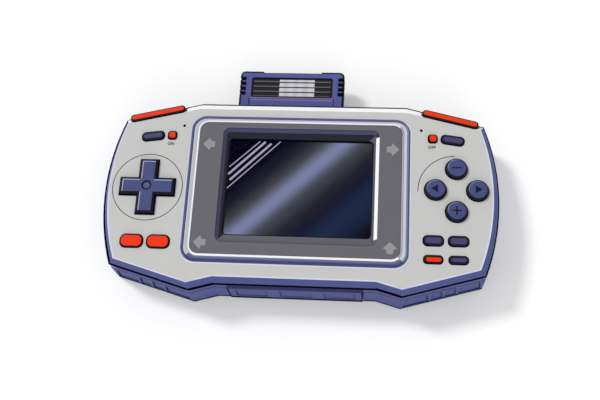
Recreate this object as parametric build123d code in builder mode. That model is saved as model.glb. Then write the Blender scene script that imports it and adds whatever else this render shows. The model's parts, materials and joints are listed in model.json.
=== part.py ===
from build123d import *
import os
from collections import namedtuple

# Handheld game console lying on its back, screen up. Millimetres.
# Origin: centre of the flat rear face. +Z out of the screen, +X to the right, +Y to the cartridge edge.

os.makedirs("parts", exist_ok=True)

# General
overrun = 5.0
gap = 0.2
loose_gap = 0.5
running_gap = 0.05
hair_gap = 0.1

# Heights of the case, from the rear face up
floor_z = 2.0
band_z = 18.4
parting_z = 22.6
land = 0.8
deck_bottom_z = 25.4
deck_top_z = 27.2
face_z = 29.0
wrap_shift = 2.0

# Case outline at the parting line: right half, from the middle of the top edge round to the bottom
top_y = 49.0
bend_x = 53.0
shoulder_x = 92.3
shoulder_y = 38.9
side_x = 99.3
side_y = -4.0
corner_x = 92.7
corner_y = -40.0
toe_x = 52.1
toe_y = -51.8
waist_x = 39.8
waist_y = -48.3

# How far the bevel above the parting line draws each edge in, and its corners' shares of that
top_bevel = 5.5
side_bevel = 4.0
bottom_bevel = 3.0
shoulder_in_share = 0.66
shoulder_down_share = 0.76
corner_up_share = 0.6
rim_width = 0.7
band_inset = 0.9
front_wall = 3.8
rear_wall = 2.6
floor_chamfer = 1.0

# Screen: surround ring, rim, bezel, recess and window, set a little off the middle as on the real face
ring_x, ring_y = -0.7, 0.2
ring_width, ring_height, ring_radius = 111.2, 78.1, 7.5
ring_band = 1.3
ring_top_z = 29.8
ring_fillet = 0.5
rim_top_z = 29.4
rim_low_z = 28.8
lip_band = 0.5
bezel_x, bezel_y = -0.6, 0.9
bezel_width, bezel_height, bezel_radius = 103.1, 70.8, 4.5
bezel_top_z = 28.6
recess_x, recess_y = -0.2, 2.6
recess_width, recess_height, recess_radius = 79.7, 61.5, 3.5
recess_wall_run = 1.7
ledge_z = 27.0
window_x, window_y = -0.1, 2.0
window_width, window_height, window_radius = 74.0, 52.2, 2.4
window_z = 26.3
deck_hole_margin = 1.4
lens_bottom_z = 24.9
lens_top_z = 26.2

# Display module under the lens
gasket_band = 1.6
panel_top_z = 24.4
panel_bottom_z = 22.8
backlight_bottom_z = 21.0
module_margin = 3.0
frame_wall = 0.8
frame_flange = 1.6

# Main board
board_bottom_z = 18.6
board_thickness = 1.4
board_top_z = board_bottom_z + board_thickness
board_edge_gap = 0.8
chip_height = 1.2
chip_places = ((-60.0, 0.0, 14.0, 14.0), (62.0, 6.0, 12.0, 18.0), (-58.0, 34.0, 8.0, 6.0),
               (56.0, -20.0, 9.0, 6.0))

# Cross pad, placed from the left side of the case
pad_side_margin = 23.1
pad_x, pad_y = pad_side_margin - side_x, -0.5
pad_span_x, pad_span_y = 27.4, 28.8
pad_arm = 8.8
pad_top_z = 31.6
pad_gap = 0.7
pad_chamfer = 0.9
pad_dimple_radius, pad_dimple_slope, pad_dimple_depth = 2.4, 0.7, 0.5
pad_flange_margin = 0.4
pad_flange_radius = pad_span_x / 2 + pad_flange_margin
pad_flange_bottom_z, pad_flange_top_z = 23.0, 23.9
pad_pivot_z = 22.7
pad_hub_radius = 5.4
pad_hub_top_z = 25.1
pad_pin_radius = 0.8
pad_pin_reach = 4.4
pad_ear_inner, pad_ear_outer = 3.0, 4.2
pad_ear_half_width = 1.6
pad_ear_rise = 1.5
pad_base_thickness = 0.6
pad_spider_half = 1.3
pad_ring_margin = 4.3
pad_ring_radius = pad_span_x / 2 + pad_ring_margin
pad_dome_margin = 4.2
pad_dome_reach, pad_dome_radius, pad_dome_height = pad_span_x / 2 - pad_dome_margin, 2.6, 1.0
groove_width, groove_depth = 0.4, 0.25

# Buttons: shared heights and fits
flange_top_z, flange_bottom_z = 25.3, 24.3
flange_reach, flange_end_reach = 1.3, 0.6
button_gap = 0.45
button_travel = 1.2
membrane_thickness = 0.8
dome_gap = 0.1
dome_draw = 0.6
mark_depth = 0.3
mark_width, mark_length = 0.7, 4.6
arrow_radius = 2.3

# Round buttons, set in a diamond and placed from the right side of the case
round_side_margin = 21.4
round_x, round_y = side_x - round_side_margin, 1.75
round_reach_x, round_reach_y = 10.25, 11.2
round_radius = 5.3
round_top_z = 31.4
round_fillet = 1.2
arc_x_shift, arc_y_shift = -0.2, -0.25
arc_radius = 18.6
arc_start_deg, arc_span_deg = 92.0, 90.0

# Small buttons: length, width and height above the face; places from the pad, the diamond and the sides
red_pill_length, red_pill_width = 11.2, 6.6
red_pill_shift, red_pill_pitch, red_pill_y = 1.8, 13.3, -29.3
tall_pill_length, tall_pill_width = 9.6, 5.0
low_pill_length, low_pill_width = 9.0, 3.9
option_shift, option_pitch = 5.1, 12.1
tall_pill_y, low_pill_y = -24.6, -34.1
pill_corner_share = 0.42
pill_top_z = 30.3
firm_fillet, soft_fillet = 0.8, 1.4
upper_pill_length, upper_pill_width = 11.3, 4.6
upper_pill_margin, upper_pill_y, upper_pill_deg = 23.2, 27.4, 7.8
upper_right_rise = 1.1
cap_size, cap_radius = 4.2, 1.3
cap_margin, cap_y = 33.1, 28.1
lamp_margin, lamp_y, lamp_radius, lamp_sink = 38.8, 33.7, 0.75, 0.4

# Shoulder buttons, in the bevel of the slanting top edges
shoulder_button_length, shoulder_button_width = 28.8, 3.8
shoulder_button_margin, shoulder_button_y = 24.3, 40.3
shoulder_button_deg = 13.6
shoulder_button_top_z = 30.0
shoulder_corner_share = 0.48
switch_size, shoulder_switch_y = 4.0, 36.0

# Cartridge
cart_x = -7.65
cart_width, cart_length, cart_thickness = 55.7, 53.0, 7.6
cart_top_z = 17.0
cart_end_y = 72.5
cart_wall, cart_side_wall = 1.4, 2.4
cart_corner = 2.6
cart_chamfer = 0.5
cart_gap = 0.5
label_width, label_height, label_depth, label_radius = 43.0, 11.6, 0.8, 1.0
label_y = 62.8
label_thickness = 0.4
label_groove_count = 4
label_groove_width, label_groove_depth = 0.7, 0.25
ledge_width, ledge_height, ledge_depth = 45.0, 4.4, 0.4
ledge_y = 54.2
grip_count, grip_pitch, grip_width, grip_depth = 4, 2.9, 1.1, 2.8
grip_y = 59.2
dip_width, dip_depth = 31.0, 0.7
card_thickness, card_width = 1.2, 42.0
card_reach = 3.0
connector_width, connector_depth, connector_height = 50.0, 4.2, 6.0

# Battery bay and its cover
cell_radius, cell_length, cell_count = 7.25, 50.5, 4
cell_tip_radius, cell_tip_length = 2.75, 1.2
cell_pitch = 14.7
cell_bottom_z = 2.6
cell_first_y = -38.4
cover_half_width = 33.3
cover_proud = 0.5
cover_wall = 1.6
cover_top_gap = 0.3
cover_panel_width, cover_panel_height, cover_panel_pitch, cover_panel_depth = 15.0, 10.2, 21.9, 0.4
cover_panel_z = 10.2
thumb_groove_count, thumb_groove_pitch, thumb_groove_y = 6, 2.0, 2.0
thumb_groove_length, thumb_groove_width, thumb_groove_depth = 22.0, 1.0, 0.5
bay_half_width = 27.2
bay_wall = 1.4
bay_top_z = 17.3
contact_thickness, contact_width, contact_height = 0.4, 9.0, 11.0

# Side wall pockets, four on each slanting wall
pocket_depth = 0.7
pocket_bottom_z, pocket_top_z = 1.8, 15.8
pocket_slant = 1.6
pocket_middle_shares = (0.185, 0.44, 0.608, 0.838)
pocket_width_shares = (0.32, 0.15, 0.145, 0.275)

# Screws
screw_head_radius, screw_head_height = 2.0, 1.4
screw_shank_radius, screw_length = 1.1, 12.0
screw_sink = 2.4
boss_radius, boss_top_z = 2.6, 8.0
case_screw_spots = ((-89.5, 22.0), (89.5, 22.0), (-88.2, -36.4), (88.2, -36.4), (-45.0, -43.0), (45.0, -43.0))
board_screw_spots = ((-56.0, 20.0), (56.0, 20.0), (-52.0, -32.0), (52.0, -32.0))
board_screw_length = 5.0
slot_width, slot_depth, slot_reach_share = 0.7, 0.6, 0.7

# Bare plate recess on the rear face
plate_x, plate_y = -4.0, 30.0
plate_width, plate_height, plate_depth, plate_radius = 52.0, 20.0, 0.3, 1.5

# Sound, sockets, volume
speaker_margin, speaker_y = 27.3, -14.0
speaker_radius, speaker_height, speaker_rim_height, speaker_lip_height = 14.0, 6.0, 2.6, 1.0
speaker_cone_radius, speaker_magnet_radius = 12.4, 8.0
speaker_slot_count, speaker_slot_pitch, speaker_slot_width, speaker_slot_length = 5, 4.0, 1.6, 20.0
jack_x, jack_z = 33.0, 11.5
jack_bore_radius, jack_bore_depth, jack_body_depth = 1.8, 14.0, 13.0
jack_width, jack_height, jack_nose_radius = 8.0, 7.0, 3.2
power_x, power_width, power_height, power_depth = -47.0, 9.0, 3.4, 8.0
power_wall = 0.8
power_tongue = 0.8
wheel_x, wheel_z, wheel_radius, wheel_thickness = 45.0, 9.6, 8.0, 2.6
wheel_proud = 1.1
wheel_notch_count, wheel_notch_radius = 36, 0.4
wheel_hub_radius = 1.5
pot_size = 9.0

# Places worked out from the sizes above
upper_pill_x = side_x - upper_pill_margin
cap_x = side_x - cap_margin
lamp_x = side_x - lamp_margin
shoulder_button_x = side_x - shoulder_button_margin
speaker_x = side_x - speaker_margin
red_pill_x = pad_x + red_pill_shift
option_x = round_x - option_shift


def save(piece, label):
    """Names a finished piece and writes its STEP file."""
    piece.part.label = label
    export_step(piece.part, f"parts/{label}.step")


def draw_case(top_in=0.0, side_in=0.0, bottom_in=0.0):
    """Draws the case outline in the open sketch, drawn in by the given amounts."""
    top = top_y - top_in
    shoulder = (shoulder_x - side_in * shoulder_in_share, shoulder_y - top_in * shoulder_down_share)
    corner = (corner_x - side_in, corner_y + bottom_in * corner_up_share)
    with BuildLine() as half:
        Polyline((0, top), (bend_x, top), shoulder)
        ThreePointArc(shoulder, (side_x - side_in, side_y), corner)
        Polyline(corner, (toe_x, toe_y + bottom_in), (waist_x, waist_y + bottom_in), (0, waist_y + bottom_in))
        mirror(about=Plane.YZ)
    make_face(half.edges())


def draw_inside(inset):
    """Draws the case outline in the open sketch, offset inwards by one width."""
    draw_case()
    offset(amount=-inset, kind=Kind.INTERSECTION, mode=Mode.REPLACE)


def draw_wrap():
    """Draws the strip past the top edges of the face, where the faceplate wraps over the case edge."""
    top = top_y - top_bevel
    side_in = side_bevel - rim_width
    inner = (shoulder_x - side_in * shoulder_in_share, shoulder_y - top_bevel * shoulder_down_share)
    outer = (2 * shoulder_x - inner[0], 2 * shoulder_y - inner[1])
    with BuildLine() as half:
        Polyline((0, top), (bend_x, top), inner, outer, (outer[0], top_y + overrun), (0, top_y + overrun))
        mirror(about=Plane.YZ)
    make_face(half.edges())


def cylinder_up(spots, radius, low, high, mode=Mode.ADD):
    """Adds or cuts upright cylinders at the given places in the open part."""
    with BuildSketch(Plane.XY.offset(low)) as circles:
        with Locations(*spots):
            Circle(radius)
    extrude(circles.sketch, amount=high - low, mode=mode)


def block_between(x_range, y_range, z_range, mode=Mode.ADD):
    """Adds or cuts a block given by its lowest and highest x, y and z in the open part."""
    centre = [(low + high) / 2 for low, high in (x_range, y_range, z_range)]
    size = [high - low for low, high in (x_range, y_range, z_range)]
    with Locations(tuple(centre)):
        Box(*size, mode=mode)


# Keys that travel straight down: place, turn, size, how far the flange reaches past the ends and sides
Key = namedtuple("Key", "label x y deg length width corner top edge end_reach side_reach")


def pill(label, x, y, length, width, edge=soft_fillet, deg=0.0):
    """Describes one long key with rounded ends."""
    return Key(label, x, y, deg, length, width, width * pill_corner_share, pill_top_z, edge,
               flange_end_reach, flange_reach)


def round_key(label, x, y):
    """Describes one round key."""
    return Key(label, x, y, 0.0, 2 * round_radius, 2 * round_radius, round_radius, round_top_z,
               round_fillet, flange_reach, flange_reach)


def shoulder_key(label, side):
    """Describes the long key in the bevel of the left (-1) or right (1) slanting top edge."""
    return Key(label, side * shoulder_button_x, shoulder_button_y, -side * shoulder_button_deg,
               shoulder_button_length, shoulder_button_width, shoulder_button_width * shoulder_corner_share,
               shoulder_button_top_z, firm_fillet, flange_reach, 0.0)


def cap_key(label, x, y):
    """Describes one small square key."""
    return Key(label, x, y, 0.0, cap_size, cap_size, cap_radius, pill_top_z, firm_fillet,
               flange_end_reach, flange_reach)


round_keys = [
    round_key("button_minus", round_x, round_y + round_reach_y),
    round_key("button_back", round_x - round_reach_x, round_y),
    round_key("button_forward", round_x + round_reach_x, round_y),
    round_key("button_plus", round_x, round_y - round_reach_y),
]
left_keys = [
    pill("red_pill_outer", red_pill_x - red_pill_pitch / 2, red_pill_y, red_pill_length, red_pill_width,
         firm_fillet),
    pill("red_pill_inner", red_pill_x + red_pill_pitch / 2, red_pill_y, red_pill_length, red_pill_width,
         firm_fillet),
]
right_keys = [
    pill(f"option_pill_{row}_{place}", option_x + side * option_pitch / 2, y, length, width)
    for row, y, length, width in (("upper", tall_pill_y, tall_pill_length, tall_pill_width),
                                  ("lower", low_pill_y, low_pill_length, low_pill_width))
    for place, side in (("inner", -1), ("outer", 1))
]
upper_keys = [
    pill("upper_pill_left", -upper_pill_x, upper_pill_y, upper_pill_length, upper_pill_width,
         deg=upper_pill_deg),
    pill("upper_pill_right", upper_pill_x, upper_pill_y + upper_right_rise, upper_pill_length,
         upper_pill_width, deg=-upper_pill_deg),
    cap_key("square_key_left", -cap_x, cap_y),
    cap_key("square_key_right", cap_x, cap_y + upper_right_rise),
]
shoulder_keys = [shoulder_key("shoulder_button_left", -1), shoulder_key("shoulder_button_right", 1)]
all_keys = round_keys + left_keys + right_keys + upper_keys + shoulder_keys


def draw_key(key, grow=0.0, end_grow=0.0, side_grow=0.0):
    """Draws a key's outline in the open sketch, grown all round or at its ends and sides."""
    length = key.length + 2 * (grow + end_grow)
    width = key.width + 2 * (grow + side_grow)
    with Locations(Location((key.x, key.y), key.deg)):
        if key.corner == round_radius:
            Circle(length / 2)
        else:
            RectangleRounded(length, width, key.corner + grow + min(end_grow, side_grow))


def draw_flange(key, grow=0.0):
    """Draws the outline of a key's flange in the open sketch."""
    draw_key(key, grow, key.end_reach, key.side_reach)


def draw_pad(grow=0.0):
    """Draws the cross pad's outline in the open sketch."""
    with Locations((pad_x, pad_y)):
        Rectangle(pad_span_x + 2 * grow, pad_arm + 2 * grow)
        Rectangle(pad_arm + 2 * grow, pad_span_y + 2 * grow)


Frame = namedtuple("Frame", "x y width height radius")
ring = Frame(ring_x, ring_y, ring_width, ring_height, ring_radius)
bezel = Frame(bezel_x, bezel_y, bezel_width, bezel_height, bezel_radius)
recess = Frame(recess_x, recess_y, recess_width, recess_height, recess_radius)
window = Frame(window_x, window_y, window_width, window_height, window_radius)


def draw_frame(frame, grow=0.0):
    """Draws one frame of the screen surround in the open sketch, grown all round."""
    with Locations((frame.x, frame.y)):
        RectangleRounded(frame.width + 2 * grow, frame.height + 2 * grow, frame.radius + grow)


# Block that the front shell and the faceplate are cut from, with the bevel above the parting line
with BuildPart() as top_block:
    with BuildSketch(Plane.XY.offset(parting_z)):
        draw_case()
    extrude(amount=land)
    with BuildSketch(Plane.XY.offset(parting_z + land)):
        draw_case()
    with BuildSketch(Plane.XY.offset(face_z)):
        draw_case(top_bevel, side_bevel - rim_width, bottom_bevel - rim_width)
    loft(ruled=True)

# Lip of the faceplate, a skin down the bevel of the top edges
with BuildPart() as wrap_lip:
    with BuildSketch(Plane.XY.offset(parting_z + land)):
        draw_wrap()
    extrude(amount=face_z - parting_z - land)
    add(top_block.part, mode=Mode.INTERSECT)
    add(top_block.part.moved(Location((0, -wrap_shift, 0))), mode=Mode.SUBTRACT)

# Faceplate before its openings
with BuildPart() as face_blank:
    with BuildSketch(Plane.XY.offset(deck_top_z)):
        draw_case(top_bevel, side_bevel, bottom_bevel)
        draw_wrap()
    extrude(amount=face_z - deck_top_z)
    add(top_block.part, mode=Mode.INTERSECT)
    add(wrap_lip.part)

# Faceplate
with BuildPart() as faceplate:
    add(face_blank.part)
    with BuildSketch(Plane.XY.offset(face_z)):
        draw_frame(ring, hair_gap)
        draw_pad(pad_gap)
        for key in all_keys:
            draw_key(key, button_gap)
        with Locations((-lamp_x, lamp_y), (lamp_x, lamp_y)):
            Circle(lamp_radius)
    extrude(amount=-(face_z - parting_z), mode=Mode.SUBTRACT)
    with BuildSketch(Plane.XY.offset(parting_z)):
        for key in shoulder_keys:
            draw_flange(key, button_gap)
    extrude(amount=deck_bottom_z - parting_z, mode=Mode.SUBTRACT)
    with BuildSketch(Plane.XY.offset(face_z - groove_depth)):
        with Locations((pad_x, pad_y)):
            Circle(pad_ring_radius)
            Circle(pad_ring_radius - groove_width, mode=Mode.SUBTRACT)
    extrude(amount=groove_depth, mode=Mode.SUBTRACT)
    with BuildSketch(Plane.XY.offset(face_z - groove_depth)):
        with BuildLine():
            CenterArc((round_x + arc_x_shift, round_y + arc_y_shift), arc_radius, arc_start_deg, arc_span_deg)
        trace(line_width=groove_width)
    extrude(amount=groove_depth, mode=Mode.SUBTRACT)
save(faceplate, "faceplate")

# Front shell: beveled rim, deck, pillars for the case screws
with BuildPart() as front_shell:
    add(top_block.part)
    with BuildSketch(Plane.XY.offset(parting_z)):
        draw_inside(front_wall)
    extrude(amount=deck_bottom_z - parting_z, mode=Mode.SUBTRACT)
    add(face_blank.part, mode=Mode.SUBTRACT)
    cylinder_up(case_screw_spots, boss_radius, boss_top_z, deck_top_z)
    cylinder_up(case_screw_spots, screw_shank_radius + running_gap, boss_top_z - overrun,
                screw_sink + screw_head_height + screw_length + gap, Mode.SUBTRACT)
    with BuildSketch(Plane.XY.offset(deck_bottom_z)):
        draw_frame(recess, deck_hole_margin)
        draw_pad(pad_gap)
        for key in all_keys:
            draw_key(key, button_gap)
        with Locations((-lamp_x, lamp_y), (lamp_x, lamp_y)):
            Circle(lamp_radius)
    extrude(amount=face_z - deck_bottom_z, mode=Mode.SUBTRACT)
    with BuildSketch(Plane.XY.offset(parting_z)):
        for key in shoulder_keys:
            draw_flange(key, button_gap)
    extrude(amount=deck_bottom_z - parting_z, mode=Mode.SUBTRACT)
save(front_shell, "front_shell")

# Rear shell: tray with a recessed band at the parting line
bay_first_y = cell_first_y - cell_radius
bay_last_y = cell_first_y + cell_pitch * (cell_count - 1) + cell_radius
cover_inner_y = bay_last_y + gap
cover_front_y = waist_y - cover_proud
cart_bottom_z = cart_top_z - cart_thickness
cart_start_y = cart_end_y - cart_length
cart_left, cart_right = cart_x - cart_width / 2, cart_x + cart_width / 2
wheel_y = top_y - wheel_radius + wheel_proud
inner_top_y = top_y - rear_wall


def side_pockets(side):
    """Cuts the four shallow pockets in the slanting wall on the left (-1) or right (1)."""
    run = Vector(side * (corner_x - toe_x), corner_y - toe_y)
    length = run.length
    along = run.normalized()
    outward = Vector(along.Y * side, -along.X * side)
    for middle, width in zip(pocket_middle_shares, pocket_width_shares):
        base = Vector(side * toe_x, toe_y) + along * (length * middle)
        plane = Plane(origin=base, x_dir=along * side, z_dir=outward)
        half = length * width / 2
        with BuildSketch(plane) as pocket:
            with BuildLine() as edge:
                Polyline((-half, pocket_bottom_z), (half, pocket_bottom_z),
                         (half - pocket_slant, pocket_top_z), (-half + pocket_slant, pocket_top_z),
                         close=True)
            make_face(edge.edges())
        extrude(pocket.sketch, amount=-pocket_depth, mode=Mode.SUBTRACT)


with BuildPart() as rear_shell:
    with BuildSketch():
        draw_case()
    extrude(amount=band_z)
    chamfer(rear_shell.faces().sort_by(Axis.Z)[0].edges(), floor_chamfer)
    with BuildSketch(Plane.XY.offset(band_z)):
        draw_inside(band_inset)
    extrude(amount=parting_z - band_z)
    with BuildSketch(Plane.XY.offset(floor_z)):
        draw_inside(rear_wall)
    extrude(amount=parting_z - floor_z, mode=Mode.SUBTRACT)
    for side in (-1, 1):
        side_pockets(side)
    # Bosses for the case screws and pillars for the main board
    cylinder_up(case_screw_spots, boss_radius + gap, boss_top_z, parting_z, Mode.SUBTRACT)
    cylinder_up(case_screw_spots, boss_radius, floor_z, boss_top_z)
    cylinder_up(case_screw_spots, screw_head_radius + gap, -overrun, screw_sink + screw_head_height,
                Mode.SUBTRACT)
    cylinder_up(case_screw_spots, screw_shank_radius + gap, 0, boss_top_z, Mode.SUBTRACT)
    cylinder_up(board_screw_spots, boss_radius, floor_z, board_bottom_z)
    cylinder_up(board_screw_spots, screw_shank_radius + running_gap,
                board_top_z - board_screw_length - gap, board_bottom_z, Mode.SUBTRACT)
    # Opening for the battery cover, and the bay's end blocks and back wall
    block_between((-cover_half_width - gap, cover_half_width + gap), (toe_y - overrun, cover_inner_y + gap),
                  (-overrun, floor_z), Mode.SUBTRACT)
    block_between((-cover_half_width - gap, cover_half_width + gap),
                  (toe_y - overrun, waist_y + rear_wall + gap), (-overrun, parting_z), Mode.SUBTRACT)
    for side in (-1, 1):
        ends = sorted((side * bay_half_width, side * (cover_half_width + gap + bay_wall)))
        roots = sorted((side * (cover_half_width + gap), side * (cover_half_width + gap + bay_wall)))
        bay_range = (waist_y + rear_wall + gap, cover_inner_y + gap)
        block_between(ends, bay_range, (floor_z + gap, bay_top_z))
        block_between(roots, bay_range, (0, floor_z + gap))
    block_between((-cover_half_width - gap - bay_wall, cover_half_width + gap + bay_wall),
                  (cover_inner_y + gap, cover_inner_y + gap + bay_wall), (floor_z, bay_top_z))
    # Cartridge slot with its side guides and rails
    block_between((cart_left - cart_gap, cart_right + cart_gap), (inner_top_y - overrun, top_y + overrun),
                  (cart_bottom_z - cart_gap, cart_top_z + cart_gap), Mode.SUBTRACT)
    for low in (cart_left - cart_gap - bay_wall, cart_right + cart_gap):
        block_between((low, low + bay_wall), (cart_start_y, inner_top_y), (floor_z, cart_top_z))
    for rail in (-1, 0, 1):
        middle = cart_x + rail * cart_width / 3
        block_between((middle - bay_wall / 2, middle + bay_wall / 2), (cart_start_y, inner_top_y),
                      (floor_z, cart_bottom_z - gap))
    # Holes for the phone jack, the power socket and the volume wheel
    with BuildSketch(Plane((0, top_y, 0), x_dir=(-1, 0, 0), z_dir=(0, 1, 0))):
        with Locations((-jack_x, jack_z)):
            Circle(jack_nose_radius + gap)
        with Locations((-power_x, jack_z)):
            Rectangle(power_width + 2 * gap, power_height + 2 * gap)
    extrude(amount=-rear_wall - overrun, mode=Mode.SUBTRACT)
    cylinder_up([(wheel_x, wheel_y)], wheel_radius + loose_gap, wheel_z - wheel_thickness / 2 - gap,
                wheel_z + wheel_thickness / 2 + gap, Mode.SUBTRACT)
    # Bare plate recess and speaker slots in the floor
    with BuildSketch():
        with Locations((plate_x, plate_y)):
            RectangleRounded(plate_width, plate_height, plate_radius)
    extrude(amount=plate_depth, mode=Mode.SUBTRACT)
    with BuildSketch():
        for side in (-1, 1):
            with Locations((side * speaker_x, speaker_y)):
                with GridLocations(speaker_slot_pitch, 0, speaker_slot_count, 1):
                    SlotOverall(speaker_slot_length, speaker_slot_width, rotation=90)
    extrude(amount=floor_z, mode=Mode.SUBTRACT)
save(rear_shell, "rear_shell")

# Battery cover: floor plate and front wall in one piece, with three sunk panels
with BuildPart() as battery_cover:
    block_between((-cover_half_width, cover_half_width), (cover_front_y, cover_inner_y), (0, floor_z))
    block_between((-cover_half_width, cover_half_width), (cover_front_y, cover_front_y + cover_wall),
                  (0, band_z))
    lower_front = battery_cover.edges().filter_by(Axis.X).sort_by(Axis.Z)[:2].sort_by(Axis.Y)[0]
    chamfer(lower_front, floor_chamfer)
    with BuildSketch():
        with Locations((0, thumb_groove_y)):
            with GridLocations(0, thumb_groove_pitch, 1, thumb_groove_count):
                SlotOverall(thumb_groove_length, thumb_groove_width)
    extrude(amount=thumb_groove_depth, mode=Mode.SUBTRACT)
    block_between((-cover_half_width, cover_half_width),
                  (waist_y + band_inset, waist_y + band_inset + cover_wall),
                  (band_z - cover_wall, parting_z - cover_top_gap))
    with BuildSketch(Plane((0, cover_front_y, 0), x_dir=(1, 0, 0), z_dir=(0, -1, 0))):
        with Locations((0, cover_panel_z)):
            with GridLocations(cover_panel_pitch, 0, 3, 1):
                Rectangle(cover_panel_width, cover_panel_height)
    extrude(amount=-cover_panel_depth, mode=Mode.SUBTRACT)
save(battery_cover, "battery_cover")

# Screen surround ring, its crest rounded
with BuildPart() as screen_ring:
    with BuildSketch(Plane.XY.offset(deck_top_z)):
        draw_frame(ring)
    extrude(amount=ring_top_z - deck_top_z)
    with BuildSketch(Plane.XY.offset(deck_top_z)):
        draw_frame(ring, -ring_band)
    extrude(amount=ring_top_z - deck_top_z, mode=Mode.SUBTRACT)
    fillet(screen_ring.faces().sort_by(Axis.Z)[-1].edges(), ring_fillet)
save(screen_ring, "screen_ring")

# Rim that slopes down from the ring to a narrow lip round the bezel
rim_inset = ring_band + hair_gap
with BuildPart() as screen_rim:
    with BuildSketch(Plane.XY.offset(deck_top_z)):
        draw_frame(ring, -rim_inset)
    extrude(amount=rim_top_z - deck_top_z)
    with BuildSketch(Plane.XY.offset(rim_low_z)):
        draw_frame(bezel, hair_gap + lip_band)
    with BuildSketch(Plane.XY.offset(rim_top_z)):
        draw_frame(ring, -rim_inset)
    loft(ruled=True, mode=Mode.SUBTRACT)
    with BuildSketch(Plane.XY.offset(deck_top_z)):
        draw_frame(bezel, hair_gap)
    extrude(amount=rim_top_z - deck_top_z, mode=Mode.SUBTRACT)
save(screen_rim, "screen_rim")

# Bezel: flat frame, a slanting wall down to a ledge, and the window in the ledge
with BuildPart() as screen_bezel:
    with BuildSketch(Plane.XY.offset(deck_top_z)):
        draw_frame(bezel)
    extrude(amount=bezel_top_z - deck_top_z)
    with BuildSketch(Plane.XY.offset(window_z)):
        draw_frame(recess, deck_hole_margin - gap)
    extrude(amount=deck_top_z - window_z)
    with BuildSketch(Plane.XY.offset(ledge_z)):
        draw_frame(recess, -recess_wall_run)
    with BuildSketch(Plane.XY.offset(bezel_top_z)):
        draw_frame(recess)
    loft(ruled=True, mode=Mode.SUBTRACT)
    with BuildSketch(Plane.XY.offset(window_z)):
        draw_frame(window)
    extrude(amount=ledge_z - window_z, mode=Mode.SUBTRACT)
save(screen_bezel, "screen_bezel")

# Lens under the bezel, and the foam gasket between it and the display
with BuildPart() as screen_lens:
    with BuildSketch(Plane.XY.offset(lens_bottom_z)):
        draw_frame(recess, deck_hole_margin - gap)
    extrude(amount=lens_top_z - lens_bottom_z)
save(screen_lens, "screen_lens")

with BuildPart() as lens_gasket:
    with BuildSketch(Plane.XY.offset(panel_top_z)):
        draw_frame(window, module_margin)
    extrude(amount=lens_bottom_z - panel_top_z)
    with BuildSketch(Plane.XY.offset(panel_top_z)):
        draw_frame(window, module_margin - gasket_band)
    extrude(amount=lens_bottom_z - panel_top_z, mode=Mode.SUBTRACT)
save(lens_gasket, "lens_gasket")

# Display: panel on its backlight, in a sheet-metal frame
with BuildPart() as lcd_panel:
    with BuildSketch(Plane.XY.offset(panel_bottom_z)):
        draw_frame(window, module_margin)
    extrude(amount=panel_top_z - panel_bottom_z)
save(lcd_panel, "lcd_panel")

with BuildPart() as lcd_backlight:
    with BuildSketch(Plane.XY.offset(backlight_bottom_z)):
        draw_frame(window, module_margin)
    extrude(amount=panel_bottom_z - backlight_bottom_z)
save(lcd_backlight, "lcd_backlight")

with BuildPart() as lcd_frame:
    with BuildSketch(Plane.XY.offset(board_top_z)):
        draw_frame(window, module_margin + frame_wall)
    extrude(amount=panel_top_z - board_top_z)
    with BuildSketch(Plane.XY.offset(backlight_bottom_z)):
        draw_frame(window, module_margin)
    extrude(amount=panel_top_z - backlight_bottom_z, mode=Mode.SUBTRACT)
    with BuildSketch(Plane.XY.offset(board_top_z)):
        draw_frame(window, module_margin - frame_flange)
    extrude(amount=backlight_bottom_z - board_top_z, mode=Mode.SUBTRACT)
save(lcd_frame, "lcd_frame")

# Main board with its chips, and the four screws that hold it
with BuildPart() as main_board:
    with BuildSketch(Plane.XY.offset(board_bottom_z)):
        draw_inside(front_wall + board_edge_gap)
        with Locations(*case_screw_spots):
            Circle(boss_radius + loose_gap, mode=Mode.SUBTRACT)
        with Locations(*board_screw_spots):
            Circle(screw_shank_radius + gap, mode=Mode.SUBTRACT)
    extrude(amount=board_thickness)
save(main_board, "main_board")

with BuildPart() as board_chips:
    with BuildSketch(Plane.XY.offset(board_bottom_z - chip_height)):
        for x, y, width, height in chip_places:
            with Locations((x, y)):
                Rectangle(width, height)
    extrude(amount=chip_height)
save(board_chips, "board_chips")


def screws(spots, head_bottom_z, direction, length):
    """Adds screws whose heads start at one height, with shanks pointing up (1) or down (-1)."""
    head_top_z = head_bottom_z + screw_head_height
    shank_start_z = head_top_z if direction > 0 else head_bottom_z
    shank_range = sorted((shank_start_z, shank_start_z + direction * length))
    cylinder_up(spots, screw_head_radius, head_bottom_z, head_top_z)
    cylinder_up(spots, screw_shank_radius, *shank_range)
    slot_range = (head_top_z - slot_depth, head_top_z)
    if direction > 0:
        slot_range = (head_bottom_z, head_bottom_z + slot_depth)
    for x, y in spots:
        for turn in (0, 1):
            reach = (screw_head_radius * slot_reach_share, slot_width / 2)
            half_x, half_y = reach if turn else reach[::-1]
            block_between((x - half_x, x + half_x), (y - half_y, y + half_y), slot_range, Mode.SUBTRACT)


with BuildPart() as case_screws:
    screws(case_screw_spots, screw_sink, 1, screw_length)
save(case_screws, "case_screws")

with BuildPart() as board_screws:
    screws(board_screw_spots, board_top_z, -1, board_screw_length)
save(board_screws, "board_screws")

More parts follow.
